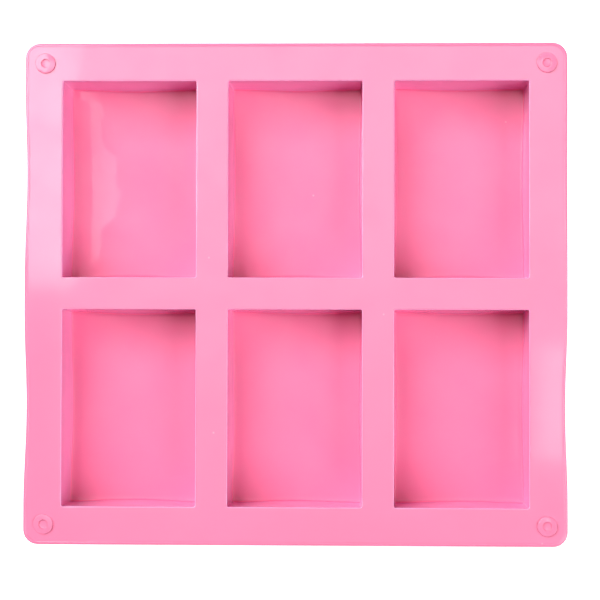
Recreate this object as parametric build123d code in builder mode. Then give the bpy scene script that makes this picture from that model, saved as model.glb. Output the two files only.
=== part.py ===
"""Six-cavity silicone mould for bars of soap.

A flat deck with two rows of three rectangular openings stands on six thin-walled cups, one under each
opening.  The deck ends in a slightly thicker rim, and each of its corners carries a raised round boss with a
dimple.  The middle of each cup's floor is the pad that a thumb presses up to push the bar out, and the
border around the pad is the part of the floor that stretches.

The frame's origin is the centre of the footprint on the table, with +X along the three columns, +Y from the
front row to the back row and +Z up.  All sizes are in millimetres.
"""

import os
from math import radians, tan

from build123d import *

# ---- Driving dimensions ----
columns = ("left", "middle", "right")
rows = ("front", "back")
cavity_width = 54.5  # opening of one cavity across X
cavity_length = 80.0  # opening of one cavity along Y
cavity_depth = 25.0  # from the deck's top face down to the inside floor
web_width = 13.0  # deck between two neighbouring openings
flange_width = 15.5  # deck and rim outside the outer openings
deck_thickness = 2.2
wall_thickness = 2.0
floor_thickness = 2.0
draft_angle = 1.0  # degrees that each cavity wall leans outward
cavity_corner_radius = 0.6  # vertical corners of a cavity
lip_radius = 0.4  # rounding of the opening's edge in the deck's top face
floor_fillet = 0.8  # between a cavity's walls and its floor, inside
foot_fillet = 1.2  # around the bottom of each cup, outside
outer_corner_radius = 6.0  # corners of the whole mould, seen from above
rim_width = 3.0
rim_thickness = 3.0
rim_rounding = 0.9  # outer edge of the rim, above and below
boss_radius = 4.05
boss_height = 0.8
boss_rounding = 0.3
boss_inset = 8.3  # from each boss's centre to both outer edges
dimple_radius = 1.85
dimple_depth = 0.6
border_width = 16.0  # stretching part of the floor, from the wall's foot to the press pad
foot_ledge = 1.7  # flat floor that stays with the wall, inside the fillet

# ---- Sizes that follow ----
mould_height = floor_thickness + cavity_depth
mould_width = len(columns) * cavity_width + (len(columns) - 1) * web_width + 2 * flange_width
mould_length = len(rows) * cavity_length + (len(rows) - 1) * web_width + 2 * flange_width
deck_underside = mould_height - deck_thickness
column_pitch = cavity_width + web_width
row_pitch = cavity_length + web_width


def cavity_size(height):
    """Width and length inside a cavity at this height above the table."""
    lean = 2 * (mould_height - height) * tan(radians(draft_angle))
    return cavity_width - lean, cavity_length - lean


floor_width, floor_length = cavity_size(floor_thickness)
foot_width = floor_fillet + foot_ledge  # from the inside wall to the border
border_outer = (floor_width - 2 * foot_width, floor_length - 2 * foot_width)
pad_size = (border_outer[0] - 2 * border_width, border_outer[1] - 2 * border_width)

# Centre of each cavity, by the name of its place in the mould.
cavity_places = {
    f"{row}_{column}": (
        (i - (len(columns) - 1) / 2) * column_pitch,
        (j - (len(rows) - 1) / 2) * row_pitch,
    )
    for j, row in enumerate(rows)
    for i, column in enumerate(columns)
}

os.makedirs("parts", exist_ok=True)


def write(part, name):
    """Labels a finished piece and writes it under its name."""
    part.label = name
    export_step(part, f"parts/{name}.step")


# ---- Deck: the flat top sheet with the openings ----
with BuildPart() as deck:
    with BuildSketch(Plane.XY.offset(deck_underside)):
        RectangleRounded(
            mould_width - 2 * rim_width,
            mould_length - 2 * rim_width,
            outer_corner_radius - rim_width,
        )
    extrude(amount=deck_thickness)
    with BuildSketch(Plane.XY.offset(mould_height)):
        with Locations(*cavity_places.values()):
            RectangleRounded(cavity_width, cavity_length, cavity_corner_radius)
    extrude(amount=-deck_thickness, taper=draft_angle, mode=Mode.SUBTRACT)
    top_face = deck.faces().sort_by(Axis.Z)[-1]
    fillet(top_face.inner_wires().edges(), lip_radius)
write(deck.part, "deck")

# ---- Rim: the thicker edge around the deck ----
with BuildPart() as rim:
    with BuildSketch(Plane.XY.offset(mould_height)):
        RectangleRounded(mould_width, mould_length, outer_corner_radius)
    extrude(amount=-rim_thickness)
    fillet(rim.faces().sort_by(Axis.Z)[-1].edges(), rim_rounding)
    fillet(rim.faces().sort_by(Axis.Z)[0].edges(), rim_rounding)
    with BuildSketch(Plane.XY.offset(mould_height)):
        RectangleRounded(
            mould_width - 2 * rim_width,
            mould_length - 2 * rim_width,
            outer_corner_radius - rim_width,
        )
    extrude(amount=-rim_thickness, mode=Mode.SUBTRACT)
write(rim.part, "rim")

# ---- Corner bosses: raised discs with a dimple ----
boss_reach = (mould_width / 2 - boss_inset, mould_length / 2 - boss_inset)
for row, along_y in (("front", -1), ("back", 1)):
    for side, along_x in (("left", -1), ("right", 1)):
        centre = (along_x * boss_reach[0], along_y * boss_reach[1])
        with BuildPart() as boss:
            with BuildSketch(Plane.XY.offset(mould_height)):
                with Locations(centre):
                    Circle(boss_radius)
            extrude(amount=boss_height)
            fillet(boss.faces().sort_by(Axis.Z)[-1].edges(), boss_rounding)
            with BuildSketch(Plane.XY.offset(mould_height + boss_height)):
                with Locations(centre):
                    Circle(dimple_radius)
            extrude(amount=-dimple_depth, mode=Mode.SUBTRACT)
        write(boss.part, f"corner_boss_{row}_{side}")

# ---- Cups: walls, stretching floor border and press pad, under each opening ----
wall_top_size = cavity_size(deck_underside)
wall_height = deck_underside  # the cups reach from the table up to the deck's underside
for place, centre in cavity_places.items():
    with BuildPart() as wall:
        with BuildSketch(Plane.XY.offset(deck_underside)):
            with Locations(centre):
                RectangleRounded(
                    wall_top_size[0] + 2 * wall_thickness,
                    wall_top_size[1] + 2 * wall_thickness,
                    cavity_corner_radius + wall_thickness,
                )
        extrude(amount=-wall_height, taper=draft_angle)
        fillet(wall.faces().sort_by(Axis.Z)[0].edges(), foot_fillet)
        with BuildSketch(Plane.XY.offset(deck_underside)):
            with Locations(centre):
                RectangleRounded(*wall_top_size, cavity_corner_radius)
        extrude(amount=floor_thickness - deck_underside, taper=draft_angle, mode=Mode.SUBTRACT)
        inside_floor = wall.faces().filter_by(Axis.Z).sort_by(Axis.Z)[1]
        fillet(inside_floor.edges(), floor_fillet)
        with BuildSketch(Plane.XY):
            with Locations(centre):
                Rectangle(*border_outer)
        extrude(amount=floor_thickness, mode=Mode.SUBTRACT)
    write(wall.part, f"cup_wall_{place}")

    with BuildPart() as border:
        with BuildSketch(Plane.XY):
            with Locations(centre):
                Rectangle(*border_outer)
                Rectangle(*pad_size, mode=Mode.SUBTRACT)
        extrude(amount=floor_thickness)
    write(border.part, f"floor_border_{place}")

    with BuildPart() as pad:
        with BuildSketch(Plane.XY):
            with Locations(centre):
                Rectangle(*pad_size)
        extrude(amount=floor_thickness)
    write(pad.part, f"press_pad_{place}")
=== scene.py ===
from math import ceil, cos, pi, radians, sin, tan

import bmesh
import bpy
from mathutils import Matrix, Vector
from mathutils.geometry import delaunay_2d_cdt


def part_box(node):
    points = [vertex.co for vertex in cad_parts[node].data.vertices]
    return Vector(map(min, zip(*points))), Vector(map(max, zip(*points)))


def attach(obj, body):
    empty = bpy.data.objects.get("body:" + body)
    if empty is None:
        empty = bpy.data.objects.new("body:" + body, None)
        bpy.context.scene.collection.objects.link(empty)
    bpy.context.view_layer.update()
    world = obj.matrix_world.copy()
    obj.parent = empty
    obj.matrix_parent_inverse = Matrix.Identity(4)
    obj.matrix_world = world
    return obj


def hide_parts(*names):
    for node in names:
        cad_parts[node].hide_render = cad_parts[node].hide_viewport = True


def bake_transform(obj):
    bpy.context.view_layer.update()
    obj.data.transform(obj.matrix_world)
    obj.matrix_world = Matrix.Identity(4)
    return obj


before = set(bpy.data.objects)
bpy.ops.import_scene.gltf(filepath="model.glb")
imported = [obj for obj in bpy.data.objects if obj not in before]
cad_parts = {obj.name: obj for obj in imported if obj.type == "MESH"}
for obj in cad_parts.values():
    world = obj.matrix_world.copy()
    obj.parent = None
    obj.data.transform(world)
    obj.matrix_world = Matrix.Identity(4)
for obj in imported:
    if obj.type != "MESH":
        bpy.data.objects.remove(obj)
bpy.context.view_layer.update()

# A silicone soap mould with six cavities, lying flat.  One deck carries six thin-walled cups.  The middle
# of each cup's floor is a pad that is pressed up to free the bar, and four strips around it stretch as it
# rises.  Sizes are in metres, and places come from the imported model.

MM = 0.001

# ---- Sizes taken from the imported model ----
DECK_LOW, DECK_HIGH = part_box("deck")
RIM_LOW, RIM_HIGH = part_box("rim")
TOP = DECK_HIGH[2]
DECK_UNDERSIDE = DECK_LOW[2]
RIM_UNDERSIDE = RIM_LOW[2]
RIM_WIDTH = DECK_LOW[0] - RIM_LOW[0]
HALF_WIDTH = RIM_HIGH[0]
HALF_LENGTH = RIM_HIGH[1]
PLACES = [name[len("cup_wall_"):] for name in sorted(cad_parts) if name.startswith("cup_wall_")]
BOSSES = [name for name in sorted(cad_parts) if name.startswith("corner_boss_")]
FLOOR_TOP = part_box(f"press_pad_{PLACES[0]}")[1][2]

# ---- Sizes of the moulding that a box doesn't show ----
WALL = 2.0 * MM
DRAFT = tan(radians(1.0))
CAVITY_CORNER = 0.6 * MM
LIP = 0.4 * MM
FLOOR_FILLET = 0.8 * MM
FOOT_FILLET = 1.2 * MM
DECK_FILLET = 1.0 * MM
OUTER_CORNER = 6.0 * MM
RIM_ROUNDING = 0.9 * MM
BEAD_INSET = 1.1 * MM  # fine groove along the rim's top, from the outer edge
BEAD_WIDTH = 0.35 * MM
BEAD_DEPTH = 0.09 * MM
DIMPLE_RADIUS = 1.85 * MM
DIMPLE_DEPTH = 0.6 * MM
BOSS_ROUNDING = 0.25 * MM
BOSS_ROOT = 0.25 * MM  # how far a boss reaches down into the deck

# ---- Meshing ----
MESH_STEP = 4.0 * MM
FLAT_SUPPORT = 0.3 * MM  # flat strip beside each rounded edge
SLIVER = 0.001 * MM * MM  # triangles smaller than this are left out
WELD = 0.002 * MM
SHARP_ANGLE = radians(40)

# ---- How the soft moulding departs from true ----
DECK_SAG = 0.25 * MM
SAG_ACROSS = 31 * MM
SAG_ALONG = 27 * MM
SAG_SLANT = 80 * MM
WALL_BOW = 0.9 * MM
BOW_REACH = 1.3  # where a wall's bow is looked for, from the cavity's middle: 1 at its opening's edge
FULL_BOW = 0.98  # where a wall bows fully
EDGE_PULL = {"back_left": 0.9 * MM, "front_left": 1.1 * MM, "back_right": 0.1 * MM, "front_right": 1.0 * MM}
FLOOR_WAVE = 0.05 * MM
WAVE_ACROSS = 9 * MM
WAVE_ALONG = 17 * MM

# ---- Shallow dish in one cavity's floor, with places from the cavity's middle: 1 at its opening's edge ----
DISHED_FLOOR = "back_left"
DISH_BOTTOM = 0.68  # deepest line, beside the outer wall
DISH_WIDTH = 11.5 * MM  # of the slope that rises from there to the middle of the floor
DISH_SLOPE = 0.03
DISH_BACK = 7.0 * MM  # width of the steeper slope on the wall's side
DISH_LENGTH = (-0.85, 0.9)
DISH_BROAD = (-0.5, 0.45)
DISH_NARROW_SHARE = 0.3  # its width outside the broad part


class Cup:
    """One cavity: its centre, its half sizes and the places of its floor pieces."""

    def __init__(self, index, place):
        low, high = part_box(f"cup_wall_{place}")
        self.place = place
        self.index = index
        self.x = (low[0] + high[0]) / 2
        self.y = (low[1] + high[1]) / 2
        self.outer = ((high[0] - low[0]) / 2, (high[1] - low[1]) / 2)
        lean = (TOP - DECK_UNDERSIDE) * DRAFT
        self.opening = (self.outer[0] - WALL + lean, self.outer[1] - WALL + lean)
        border_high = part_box(f"floor_border_{place}")[1]
        self.border = (border_high[0] - self.x, border_high[1] - self.y)
        pad_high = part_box(f"press_pad_{place}")[1]
        self.pad = (pad_high[0] - self.x, pad_high[1] - self.y)

    def inside(self, height, gap=0.0):
        """Half sizes of the cavity at this height, less a gap to its walls."""
        lean = (TOP - height) * DRAFT + gap
        return self.opening[0] - lean, self.opening[1] - lean

    def outside(self, height, gap=0.0):
        """Half sizes of the cup's outside at this height, less a gap."""
        lean = (DECK_UNDERSIDE - height) * DRAFT + gap
        return self.outer[0] - lean, self.outer[1] - lean

    def reach(self, x, y):
        """Where a point lies from the cup's centre: 1 at the opening's edge."""
        return (x - self.x) / self.opening[0], (y - self.y) / self.opening[1]


CUPS = [Cup(index, place) for index, place in enumerate(PLACES)]


# ---- Shapes ----
def bump(t):
    """1 in the middle, and 0 with no slope from -1 and from 1 outwards."""
    return cos(pi * t / 2) ** 2 if abs(t) < 1 else 0.0


def smooth_step(t):
    """0 up to 0, 1 from 1 on, and a smooth rise between them."""
    t = min(max(t, 0.0), 1.0)
    return t * t * (3 - 2 * t)


def within(t, ends, first_rise, last_fall):
    """1 well between two ends and 0 beyond them, with smooth changes over these lengths."""
    return smooth_step((ends[1] - t) / last_fall) * smooth_step((t - ends[0]) / first_rise)


def wall_share(reach, foot):
    """Signed share of a wall's bow: none from the cup's middle to the wall's foot, all of it at the wall."""
    share = smooth_step((abs(reach) - foot) / (FULL_BOW - foot))
    return share if reach > 0 else -share


def dish(cup, x, y):
    """Depth of the shallow dish in one cavity's floor, broad halfway along it and with a wavy edge."""
    along = (y - cup.y) / cup.opening[1]
    whole = within(along, DISH_LENGTH, 0.1, 0.1)
    broad = within(along, DISH_BROAD, 0.2, 0.25)
    width = DISH_WIDTH * (DISH_NARROW_SHARE * whole + (1 - DISH_NARROW_SHARE) * broad)
    width *= 1 + 0.12 * sin(y / (2.9 * MM)) + 0.08 * sin(y / (1.7 * MM) + 1.0)
    from_bottom = x - (cup.x - DISH_BOTTOM * cup.opening[0])
    depth = DISH_SLOPE * max(width, 0.0)
    if from_bottom < 0:
        return depth * (1 - smooth_step(-from_bottom / DISH_BACK))
    return depth * max(0.0, 1 - from_bottom / max(width, MM))


def floor_wave(x, y):
    """Height of the gentle waves in the cavities' floors, less the depth of the dish in one of them."""
    wave = FLOOR_WAVE * sin(x / WAVE_ACROSS + 0.8 * sin(y / WAVE_ALONG) - 1.2)
    for cup in CUPS:
        across, along = cup.reach(x, y)
        if cup.place == DISHED_FLOOR and abs(across) < 1 and abs(along) < 1:
            wave -= dish(cup, x, y)
    return wave


def settle(x, y, z):
    """Moves a point of the true shape to where the soft moulding has it.  The table side stays flat."""
    height = smooth_step((z - FLOOR_TOP) / (DECK_UNDERSIDE - FLOOR_TOP))
    sag = 0.5 + 0.25 * sin(x / SAG_ACROSS + 1.1) + 0.25 * sin(y / SAG_ALONG - x / SAG_SLANT + 0.4)
    new_x = x
    new_y = y
    for cup in CUPS:
        across, along = cup.reach(x, y)
        if abs(across) < BOW_REACH and abs(along) < BOW_REACH:
            rise = min(max((z - FLOOR_TOP) / (TOP - FLOOR_TOP), 0.0), 1.0)
            bow = WALL_BOW * (1 - smooth_step(rise)) * (0.85 + 0.15 * sin(2.3 * cup.index + 0.7))
            foot = [cup.border[k] / cup.opening[k] for k in (0, 1)]
            new_x -= bow * bump(along) * wall_share(across, foot[0])
            new_y -= bow * bump(across) * wall_share(along, foot[1])
        pull = EDGE_PULL.get(cup.place, 0.0)
        side = 1 if cup.x > 0 else -1
        flange = (side * x - side * cup.x - cup.opening[0]) / (HALF_WIDTH - side * cup.x - cup.opening[0])
        new_x -= side * pull * smooth_step(flange) * bump(along) * height
    on_floor = 1 - smooth_step(abs(z - FLOOR_TOP) / (3 * FLOOR_FILLET))
    wave = floor_wave(x, y) * on_floor * smooth_step(z / FLOOR_TOP)
    return new_x, new_y, z - DECK_SAG * sag * height + wave


def steps_along(length):
    """How many faces a side of this length has."""
    return max(2, ceil(length / MESH_STEP))


def ring(centre, half, radius, z, steps, corner_steps=6):
    """Points of a rounded rectangle, anticlockwise.  Rings with the same steps join up point by point."""
    points = []
    corners = ((1, 1), (-1, 1), (-1, -1), (1, -1))
    for turn, (sx, sy) in enumerate(corners):
        middle = Vector((centre[0] + sx * (half[0] - radius), centre[1] + sy * (half[1] - radius)))
        arc = []
        for i in range(corner_steps + 1):
            angle = pi / 2 * (turn + i / corner_steps)
            arc.append(middle + radius * Vector((cos(angle), sin(angle))))
        points += arc
        next_x, next_y = corners[(turn + 1) % 4]
        next_across = centre[0] + next_x * (half[0] - radius)
        next_along = centre[1] + next_y * (half[1] - radius)
        end_angle = pi / 2 * (turn + 1)
        start_of_next = Vector((next_across, next_along)) + radius * Vector((cos(end_angle), sin(end_angle)))
        count = steps[turn % 2]
        points += [arc[-1].lerp(start_of_next, i / count) for i in range(1, count)]
    return [(p.x, p.y, z) for p in points]


def quarter(radius, count=5):
    """(inward, down) pairs round a quarter circle, from its upright end to its level end."""
    pairs = []
    for i in range(count + 1):
        angle = pi / 2 * i / count
        pairs.append((radius * (1 - cos(angle)), radius * sin(angle)))
    return pairs


def loft(mesh, rings, closed=False):
    """Joins each ring to the next one with faces, and the last to the first if closed."""
    rows = [[mesh.verts.new(point) for point in points] for points in rings]
    pairs = list(zip(rows, rows[1:]))
    if closed:
        pairs.append((rows[-1], rows[0]))
    for lower, upper in pairs:
        for i in range(len(lower)):
            j = (i + 1) % len(lower)
            mesh.faces.new((lower[i], lower[j], upper[j], upper[i]))
    return rows


def in_rectangle(point, centre, half, gap=0.0):
    """Whether a point lies in a rectangle that is widened by a gap."""
    return abs(point[0] - centre[0]) < half[0] + gap and abs(point[1] - centre[1]) < half[1] + gap


def sheet_with_openings(mesh, outline, openings, z):
    """A level sheet of triangles between an outline and the rings of its openings.

    openings holds (ring, centre, half sizes) for each one.
    """
    loops = [outline] + [points for points, centre, half in openings]
    coordinates = []
    edges = []
    for points in loops:
        first = len(coordinates)
        coordinates += [Vector(point[:2]) for point in points]
        edges += [(first + i, first + (i + 1) % len(points)) for i in range(len(points))]
    reach_x = max(point[0] for point in outline)
    reach_y = max(point[1] for point in outline)
    margin = MESH_STEP / 2
    columns = int(2 * reach_x / MESH_STEP)
    rows = int(2 * reach_y / MESH_STEP)
    for i in range(columns + 1):
        for j in range(rows + 1):
            spot = (-reach_x + i * 2 * reach_x / columns, -reach_y + j * 2 * reach_y / rows)
            near_edge = not in_rectangle(spot, (0, 0), (reach_x - margin, reach_y - margin))
            near_corner = abs(spot[0]) > reach_x - OUTER_CORNER and abs(spot[1]) > reach_y - OUTER_CORNER
            in_opening = any(in_rectangle(spot, centre, half, margin) for _, centre, half in openings)
            if not (near_edge or near_corner or in_opening):
                coordinates.append(Vector(spot))
    points, _, faces, *_ = delaunay_2d_cdt(coordinates, edges, [], 0, 1e-7)
    verts = [mesh.verts.new((point.x, point.y, z)) for point in points]
    for face in faces:
        a, b, c = (points[i] for i in face)
        middle = (a + b + c) / 3
        is_sliver = abs((b - a).cross(c - a)) < SLIVER
        if not is_sliver and not any(in_rectangle(middle, centre, half) for _, centre, half in openings):
            mesh.faces.new([verts[i] for i in face])


def finish_mesh(mesh, name, settled=True):
    """Welds a mesh, settles it, turns its faces outwards and gives it an object."""
    bmesh.ops.remove_doubles(mesh, verts=mesh.verts, dist=WELD)
    if settled:
        for vert in mesh.verts:
            vert.co = settle(*vert.co)
    bmesh.ops.recalc_face_normals(mesh, faces=mesh.faces)
    data = bpy.data.meshes.new(name)
    mesh.to_mesh(data)
    mesh.free()
    data.shade_smooth()
    data.set_sharp_from_angle(angle=SHARP_ANGLE)
    piece = bpy.data.objects.new(name, data)
    bpy.context.scene.collection.objects.link(piece)
    return piece


# ---- Materials ----
def socket(group, name, way, kind, value=None):
    """Adds an input or an output to a node group."""
    made = group.interface.new_socket(name=name, in_out=way, socket_type=kind)
    if value is not None:
        made.default_value = value


def noise(nodes, links, place, scale, detail, roughness=0.5):
    """A noise pattern read at the given coordinates."""
    node = nodes.new("ShaderNodeTexNoise")
    node.inputs["Detail"].default_value = detail
    node.inputs["Roughness"].default_value = roughness
    node.inputs["Scale"].default_value = scale
    links.new(place, node.inputs["Vector"])
    return node.outputs["Fac"]


def spread(nodes, links, value, low, high, new_low, new_high):
    """Maps a value's range low..high to new_low..new_high, held at both ends."""
    node = nodes.new("ShaderNodeMapRange")
    node.inputs["From Min"].default_value = low
    node.inputs["From Max"].default_value = high
    links.new(value, node.inputs["Value"])
    for name, end in (("To Min", new_low), ("To Max", new_high)):
        if hasattr(end, "links"):
            links.new(end, node.inputs[name])
        else:
            node.inputs[name].default_value = end
    return node.outputs["Result"]


def maths(nodes, links, operation, first, second):
    """A sum on two values, each a number or another node's output."""
    node = nodes.new("ShaderNodeMath")
    node.operation = operation
    for slot, value in enumerate((first, second)):
        if hasattr(value, "links"):
            links.new(value, node.inputs[slot])
        else:
            node.inputs[slot].default_value = value
    return node.outputs[0]


def mix_colours(nodes, links, amount, first, second):
    """Goes from the first colour to the second as the amount goes from 0 to 1."""
    node = nodes.new("ShaderNodeMix")
    node.data_type = "RGBA"
    colours = [item for item in node.inputs if item.type == "RGBA"]
    links.new(amount, node.inputs["Factor"])
    for target, value in zip(colours, (first, second)):
        if hasattr(value, "links"):
            links.new(value, target)
        else:
            target.default_value = value
    return next(item for item in node.outputs if item.type == "RGBA")


def make_silicone_skin():
    """Pigment clouds, moulded grain, handling smudges and lint of silicone, as one shared group."""
    group = bpy.data.node_groups.new("silicone_skin", "ShaderNodeTree")
    socket(group, "Pigment", "INPUT", "NodeSocketColor", (0.95, 0.26, 0.47, 1))
    socket(group, "Deep Pigment", "INPUT", "NodeSocketColor", (0.93, 0.23, 0.44, 1))
    socket(group, "Clean Gloss", "INPUT", "NodeSocketFloat", 1.0)
    socket(group, "Smudged Gloss", "INPUT", "NodeSocketFloat", 0.85)
    socket(group, "Color", "OUTPUT", "NodeSocketColor")
    socket(group, "Roughness", "OUTPUT", "NodeSocketFloat")
    socket(group, "Gloss", "OUTPUT", "NodeSocketFloat")
    socket(group, "Height", "OUTPUT", "NodeSocketFloat")
    nodes, links = group.nodes, group.links
    given = nodes.new("NodeGroupInput")
    result = nodes.new("NodeGroupOutput")
    place = nodes.new("ShaderNodeTexCoord").outputs["Object"]

    clouds = spread(nodes, links, noise(nodes, links, place, scale=38, detail=3), 0.35, 0.65, 0, 1)
    pigment = mix_colours(nodes, links, clouds, given.outputs["Pigment"], given.outputs["Deep Pigment"])
    specks = nodes.new("ShaderNodeTexVoronoi")
    specks.inputs["Scale"].default_value = 55
    links.new(place, specks.inputs["Vector"])
    lint = spread(nodes, links, specks.outputs["Distance"], 0.012, 0.03, 0.35, 0)
    lint_colour = (0.97, 0.62, 0.72, 1)
    links.new(mix_colours(nodes, links, lint, pigment, lint_colour), result.inputs["Color"])

    smudges = noise(nodes, links, place, scale=70, detail=4, roughness=0.6)
    links.new(spread(nodes, links, smudges, 0.35, 0.7, 0.54, 0.66), result.inputs["Roughness"])
    clean = given.outputs["Clean Gloss"]
    smudged = given.outputs["Smudged Gloss"]
    links.new(spread(nodes, links, smudges, 0.42, 0.66, clean, smudged), result.inputs["Gloss"])

    ripple = noise(nodes, links, place, scale=34, detail=1)
    grain = maths(nodes, links, "MULTIPLY", noise(nodes, links, place, scale=1500, detail=2), 0.03)
    links.new(maths(nodes, links, "ADD", ripple, grain), result.inputs["Height"])
    return group


def make_silicone(name, skin, pigment, deep_pigment, clean_gloss, smudged_gloss):
    """Pink silicone: a satin body under a thin glossy skin that handling dulls."""
    material = bpy.data.materials.new(name)
    material.use_nodes = True
    nodes, links = material.node_tree.nodes, material.node_tree.links
    shader = nodes["Principled BSDF"]
    shader.inputs["IOR"].default_value = 1.43
    shader.inputs["Specular IOR Level"].default_value = 1.0
    shader.inputs["Coat IOR"].default_value = 1.5
    shader.inputs["Coat Roughness"].default_value = 0.06
    surface = nodes.new("ShaderNodeGroup")
    surface.node_tree = skin
    surface.inputs["Pigment"].default_value = (*pigment, 1)
    surface.inputs["Deep Pigment"].default_value = (*deep_pigment, 1)
    surface.inputs["Clean Gloss"].default_value = clean_gloss
    surface.inputs["Smudged Gloss"].default_value = smudged_gloss
    relief = nodes.new("ShaderNodeBump")
    relief.inputs["Distance"].default_value = 0.12 * MM
    relief.inputs["Strength"].default_value = 1.0
    links.new(surface.outputs["Color"], shader.inputs["Base Color"])
    links.new(surface.outputs["Roughness"], shader.inputs["Roughness"])
    links.new(surface.outputs["Gloss"], shader.inputs["Coat Weight"])
    links.new(surface.outputs["Height"], relief.inputs["Height"])
    links.new(relief.outputs["Normal"], shader.inputs["Normal"])
    return material


silicone_skin = make_silicone_skin()
top_silicone = make_silicone(
    "satin_pink_silicone", silicone_skin,
    pigment=(0.96, 0.212, 0.405), deep_pigment=(0.95, 0.202, 0.39), clean_gloss=0.95, smudged_gloss=0.8)
# The deck's silicone with a much lighter pigment: painted light, standing in for the light that the
# cavities' walls catch.
painted_light_wall_silicone = make_silicone(
    "clear_pink_silicone", silicone_skin,
    pigment=(0.99, 0.43, 0.75), deep_pigment=(0.985, 0.41, 0.73), clean_gloss=1.0, smudged_gloss=0.9)
# The deck's silicone with a deeper, redder pigment: painted shade, standing in for the saturated red light
# in the cavities' shade and under the deck.
painted_shade_floor_silicone = make_silicone(
    "glossy_pink_silicone", silicone_skin,
    pigment=(0.99, 0.194, 0.388), deep_pigment=(0.985, 0.18, 0.374), clean_gloss=0.45, smudged_gloss=0.3)


def place_piece(piece, material, nodes, body="mould"):
    """Gives a finished piece its material and slot, and sets what it rides on and stands for."""
    piece.data.materials.append(material)
    if nodes:
        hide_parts(*nodes)
    if body:
        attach(piece, body)


# ---- Deck and rim, as one sheet ----
def make_deck():
    """The deck and its rim, with the openings' inner sides in the wall silicone, whose lighter pigment is
    painted light.
    """
    mesh = bmesh.new()
    steps = (steps_along(2 * HALF_WIDTH), steps_along(2 * HALF_LENGTH))

    def outline(gap, z):
        half = (HALF_WIDTH - gap, HALF_LENGTH - gap)
        return ring((0, 0), half, OUTER_CORNER - gap, z, steps)

    turn = quarter(RIM_ROUNDING)
    groove = ((1.5, 0.0), (1.0, 0.0), (0.7, 0.8), (0.5, 1.0), (0.3, 0.8), (0.0, 0.0))
    edge = [outline(BEAD_INSET + BEAD_WIDTH * across, TOP - BEAD_DEPTH * deep) for across, deep in groove]
    edge += [outline(inward, TOP - RIM_ROUNDING + down) for inward, down in reversed(turn)]
    edge += [outline(inward, RIM_UNDERSIDE + RIM_ROUNDING - down) for inward, down in turn]
    edge += [outline(RIM_WIDTH, RIM_UNDERSIDE), outline(RIM_WIDTH, DECK_UNDERSIDE)]
    edge += [outline(RIM_WIDTH + FLAT_SUPPORT, DECK_UNDERSIDE)]
    loft(mesh, edge)

    upper = []
    lower = []
    for cup in CUPS:
        centre = (cup.x, cup.y)
        cup_steps = (steps_along(2 * cup.opening[0]), steps_along(2 * cup.opening[1]))
        support = (cup.opening[0] + LIP + FLAT_SUPPORT, cup.opening[1] + LIP + FLAT_SUPPORT)
        sides = [ring(centre, support, CAVITY_CORNER + LIP + FLAT_SUPPORT, TOP, cup_steps)]
        for inward, down in reversed(quarter(LIP)):
            half = cup.inside(TOP - LIP, -inward)
            sides.append(ring(centre, half, CAVITY_CORNER + inward, TOP - LIP + down, cup_steps))
        sides.append(ring(centre, cup.inside(DECK_UNDERSIDE), CAVITY_CORNER, DECK_UNDERSIDE, cup_steps))
        loft(mesh, sides)
        upper.append((sides[0], centre, support))
        lower.append((sides[-1], centre, cup.inside(DECK_UNDERSIDE)))
    sheet_with_openings(mesh, edge[0], upper, TOP)
    sheet_with_openings(mesh, edge[-1], lower, DECK_UNDERSIDE)
    piece = finish_mesh(mesh, "deck_sheet")
    place_piece(piece, top_silicone, ("deck", "rim"))
    piece.data.materials.append(painted_light_wall_silicone)
    for face in piece.data.polygons:
        in_opening = any(in_rectangle(face.center, (cup.x, cup.y), cup.opening, LIP) for cup in CUPS)
        if in_opening and abs(face.normal.z) < 0.95:
            face.material_index = 1


# ---- Corner bosses ----
def make_boss(node):
    """A raised disc with a dimple, whose foot stands a little way down in the deck."""
    low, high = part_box(node)
    x = (low[0] + high[0]) / 2
    y = (low[1] + high[1]) / 2
    top = high[2]
    radius = (high[0] - low[0]) / 2
    edge = BOSS_ROUNDING
    lip = DIMPLE_RADIUS + edge
    bottom = top - DIMPLE_DEPTH + edge
    profile = [(radius, TOP - BOSS_ROOT), (radius, TOP)]
    profile += [(radius - inward, top - edge + down) for inward, down in quarter(edge)]
    profile += [(lip - inward, top - edge + down) for inward, down in reversed(quarter(edge))]
    profile += [(DIMPLE_RADIUS, bottom)]
    profile += [(DIMPLE_RADIUS - inward, bottom - down) for inward, down in quarter(edge)]
    count = 48
    turn = [2 * pi * i / count for i in range(count)]
    rings = []
    for reach, z in profile:
        rings.append([(x + reach * cos(angle), y + reach * sin(angle), min(z, top)) for angle in turn])
    mesh = bmesh.new()
    rows = loft(mesh, rings)
    mesh.faces.new(rows[0])
    mesh.faces.new(rows[-1])
    piece = finish_mesh(mesh, node.replace("corner_", "") + "_disc")
    place_piece(piece, top_silicone, (node,))


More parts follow.
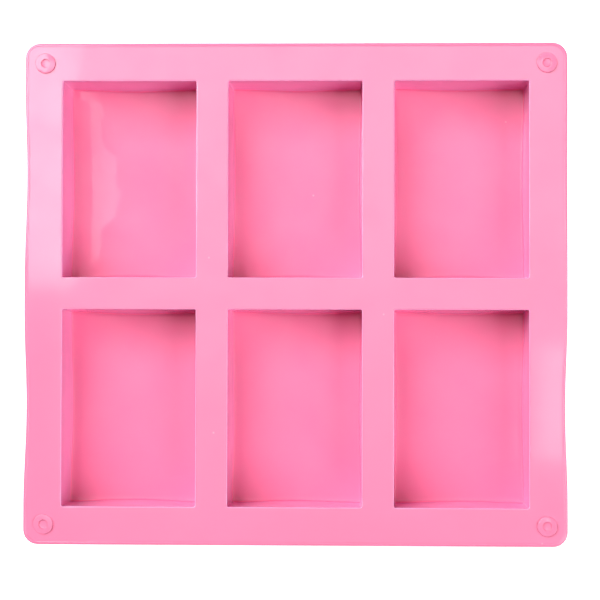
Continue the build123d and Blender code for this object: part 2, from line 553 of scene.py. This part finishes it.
# ---- Cups ----
def make_cup_walls(cup):
    """A cup's four walls and foot.  Only the walls' inner sides are in the wall silicone with its painted
    light; the rest is in the floor silicone with its painted shade.
    """
    centre = (cup.x, cup.y)
    steps = (steps_along(2 * cup.opening[0]), steps_along(2 * cup.opening[1]))
    rises = 10
    rings = []

    def add(half, radius, z):
        rings.append(ring(centre, half, radius, z, steps))

    fillet_top = FLOOR_TOP + FLOOR_FILLET
    for i in range(rises):
        z = DECK_UNDERSIDE + (fillet_top - DECK_UNDERSIDE) * i / rises
        add(cup.inside(z), CAVITY_CORNER, z)
    for inward, down in quarter(FLOOR_FILLET, 7):
        add(cup.inside(fillet_top, inward), CAVITY_CORNER, fillet_top - down)
    add(cup.border, 0.0, FLOOR_TOP)
    add(cup.border, 0.0, 0.0)
    outer_corner = CAVITY_CORNER + WALL
    for inward, down in reversed(quarter(FOOT_FILLET)):
        add(cup.outside(FOOT_FILLET, inward), outer_corner - inward, FOOT_FILLET - down)
    for i in range(1, rises):
        z = FOOT_FILLET + (DECK_UNDERSIDE - DECK_FILLET - FOOT_FILLET) * i / rises
        add(cup.outside(z), outer_corner, z)
    for inward, up in quarter(DECK_FILLET):
        z = DECK_UNDERSIDE - DECK_FILLET + up
        add(cup.outside(z, -inward), outer_corner + inward, z)
    mesh = bmesh.new()
    loft(mesh, rings, closed=True)
    piece = finish_mesh(mesh, f"cup_{cup.place}_walls")
    place_piece(piece, painted_light_wall_silicone, (f"cup_wall_{cup.place}",))
    piece.data.materials.append(painted_shade_floor_silicone)
    for face in piece.data.polygons:
        outward = face.normal.x * (face.center.x - cup.x) + face.normal.y * (face.center.y - cup.y)
        if outward > 0 or face.center.z < FLOOR_TOP + FLOOR_FILLET:
            face.material_index = 1


def make_slab(name, top_points):
    """A closed slab on the table under a grid of points of the floor's upper face."""
    mesh = bmesh.new()
    upper = [[mesh.verts.new((x, y, FLOOR_TOP + floor_wave(x, y))) for x, y in row] for row in top_points]
    lower = [[mesh.verts.new((x, y, 0.0)) for x, y in row] for row in top_points]
    layers = (upper, lower)
    rows = len(top_points)
    columns = len(top_points[0])
    for layer in layers:
        for i in range(rows - 1):
            for j in range(columns - 1):
                mesh.faces.new((layer[i][j], layer[i][j + 1], layer[i + 1][j + 1], layer[i + 1][j]))
    rim = [(0, j) for j in range(columns)] + [(i, columns - 1) for i in range(1, rows)]
    rim += [(rows - 1, j) for j in range(columns - 2, -1, -1)] + [(i, 0) for i in range(rows - 2, 0, -1)]
    for (i, j), (k, m) in zip(rim, rim[1:] + rim[:1]):
        mesh.faces.new((layers[0][i][j], layers[0][k][m], layers[1][k][m], layers[1][i][j]))
    return finish_mesh(mesh, name, settled=False)


def make_floor(cup):
    """The press pad and the four mitred strips that stretch between it and the wall's foot."""
    body = f"pad_{cup.place}"
    half_columns = 4
    half_rows = 8
    grid = []
    for u in range(-half_columns, half_columns + 1):
        x = cup.x + cup.pad[0] * u / half_columns
        grid.append([(x, cup.y + cup.pad[1] * v / half_rows) for v in range(-half_rows, half_rows + 1)])
    pad = make_slab(f"press_pad_{cup.place}_skin", grid)
    # The pad and its strips take the floor silicone, whose deeper pigment is painted shade.
    place_piece(pad, painted_shade_floor_silicone, (f"press_pad_{cup.place}",), body)
    stretch_steps = 16
    side_steps = 24
    sides = {"east": (1, 0), "north": (0, 1), "west": (-1, 0), "south": (0, -1)}
    for side, (nx, ny) in sides.items():
        rows = []
        for i in range(stretch_steps + 1):
            t = i / stretch_steps
            half = [cup.border[k] + (cup.pad[k] - cup.border[k]) * t for k in (0, 1)]
            row = []
            for j in range(side_steps + 1):
                along = 2 * j / side_steps - 1
                row.append((cup.x + half[0] * (nx - ny * along), cup.y + half[1] * (ny + nx * along)))
            rows.append(row)
        strip = make_slab(f"floor_strip_{cup.place}_{side}", rows)
        place_piece(strip, painted_shade_floor_silicone, (f"floor_border_{cup.place}",), None)
        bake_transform(strip)


make_deck()
for boss_node in BOSSES:
    make_boss(boss_node)
for each_cup in CUPS:
    make_cup_walls(each_cup)
    make_floor(each_cup)


# ---- Table, lights and camera ----
TABLE_HALF_WIDTH = 3.0
TABLE_GAP = 0.05 * MM  # keeps the table clear of the cups' undersides
SOFTBOX_HEIGHT = 2.5

# The ceiling's places are slopes of a direction away from straight up.
CEILING_BRIGHTNESS = 3.25
CEILING_GRADE = (-0.12, 0.15)  # from dark to brightest, front to back
CEILING_BACK = (0.155, 0.17)  # where it ends at the back
CEILING_SIDE = (0.11, 0.135)  # where it ends on either side of its middle
CEILING_SHIFT = 0.02  # how far its middle lies to the left
ROOM_BRIGHTNESS = 0.02


def make_table():
    """A white table that shows only its upper side."""
    mesh = bmesh.new()
    bmesh.ops.create_grid(mesh, x_segments=8, y_segments=8, size=TABLE_HALF_WIDTH)
    data = bpy.data.meshes.new("table")
    mesh.to_mesh(data)
    mesh.free()
    table = bpy.data.objects.new("table", data)
    table.location.z = -TABLE_GAP
    bpy.context.scene.collection.objects.link(table)
    material = bpy.data.materials.new("white_table")
    material.use_nodes = True
    nodes, links = material.node_tree.nodes, material.node_tree.links
    shader = nodes["Principled BSDF"]
    shader.inputs["Base Color"].default_value = (0.8, 0.8, 0.8, 1)
    shader.inputs["Roughness"].default_value = 0.8
    shader.inputs["Specular IOR Level"].default_value = 0.1
    shader.inputs["Emission Color"].default_value = (1, 1, 1, 1)
    shader.inputs["Emission Strength"].default_value = 0.75
    clear = nodes.new("ShaderNodeBsdfTransparent")
    side = nodes.new("ShaderNodeNewGeometry")
    choose = nodes.new("ShaderNodeMixShader")
    links.new(side.outputs["Backfacing"], choose.inputs["Fac"])
    links.new(shader.outputs["BSDF"], choose.inputs[1])
    links.new(clear.outputs["BSDF"], choose.inputs[2])
    links.new(choose.outputs["Shader"], nodes["Material Output"].inputs["Surface"])
    table.data.materials.append(material)


def hang_softbox(name, across, along, radiance):
    """A level softbox that spans these places in X and in Y and shines straight down."""
    light = bpy.data.lights.new(name, "AREA")
    light.shape = "RECTANGLE"
    light.size = across[1] - across[0]
    light.size_y = along[1] - along[0]
    light.energy = radiance * pi * light.size * light.size_y
    lamp = bpy.data.objects.new(name, light)
    lamp.location = (sum(across) / 2, sum(along) / 2, SOFTBOX_HEIGHT)
    bpy.context.scene.collection.objects.link(lamp)


def make_ceiling(nodes, links):
    """Brightness of the room: a distant pale ceiling, brightest towards the back, in a dim room."""
    direction = nodes.new("ShaderNodeTexCoord").outputs["Generated"]
    parts = nodes.new("ShaderNodeSeparateXYZ")
    links.new(direction, parts.inputs["Vector"])
    across = maths(nodes, links, "DIVIDE", parts.outputs["X"], parts.outputs["Z"])
    along = maths(nodes, links, "DIVIDE", parts.outputs["Y"], parts.outputs["Z"])
    graded = spread(nodes, links, along, *CEILING_GRADE, 0.0, CEILING_BRIGHTNESS)
    off_middle = maths(nodes, links, "ABSOLUTE", maths(nodes, links, "ADD", across, CEILING_SHIFT), 0.0)
    within_width = spread(nodes, links, off_middle, *CEILING_SIDE, 1.0, 0.0)
    within_length = spread(nodes, links, along, *CEILING_BACK, 1.0, 0.0)
    above = spread(nodes, links, parts.outputs["Z"], 0.0, 0.1, 0.0, 1.0)
    inside_edges = maths(nodes, links, "MULTIPLY", within_width, within_length)
    lit = maths(nodes, links, "MULTIPLY", inside_edges, above)
    return maths(nodes, links, "ADD", maths(nodes, links, "MULTIPLY", graded, lit), ROOM_BRIGHTNESS)


def make_studio():
    """Two large softboxes, each with a small one at its near edge, and the room's ceiling."""
    hang_softbox("softbox_back_left", (-4.6, -0.437), (0.20, 2.6), 6.3)
    hang_softbox("softbox_left_edge", (-0.60, -0.437), (0.083, 0.20), 6.3)
    hang_softbox("softbox_front_right", (1.0, 4.8), (-2.6, 0.25), 4.1)
    hang_softbox("softbox_right_edge", (0.285, 0.40), (-0.195, -0.01), 4.0)
    world = bpy.data.worlds.new("studio")
    bpy.context.scene.world = world
    world.use_nodes = True
    nodes, links = world.node_tree.nodes, world.node_tree.links
    room = nodes["Background"]
    room.inputs["Color"].default_value = (1, 1, 1, 1)
    links.new(make_ceiling(nodes, links), room.inputs["Strength"])
    backdrop = nodes.new("ShaderNodeBackground")
    backdrop.inputs["Color"].default_value = (1, 1, 1, 1)
    rays = nodes.new("ShaderNodeLightPath")
    choose = nodes.new("ShaderNodeMixShader")
    links.new(rays.outputs["Is Camera Ray"], choose.inputs["Fac"])
    links.new(room.outputs["Background"], choose.inputs[1])
    links.new(backdrop.outputs["Background"], choose.inputs[2])
    links.new(choose.outputs["Shader"], nodes["World Output"].inputs["Surface"])
    bpy.context.scene.view_settings.view_transform = "Standard"


def make_camera():
    """Nearly straight down, with a slight lean, through a long lens."""
    data = bpy.data.cameras.new("camera")
    data.lens = 128.5
    data.sensor_width = 36.0
    data.clip_end = 20.0
    camera = bpy.data.objects.new("camera", data)
    camera.location = (32.0 * MM, -25.7 * MM, 893.9 * MM)
    camera.rotation_euler = (radians(1.53), radians(1.97), radians(0.15))
    bpy.context.scene.collection.objects.link(camera)
    bpy.context.scene.camera = camera


make_table()
make_studio()
make_camera()
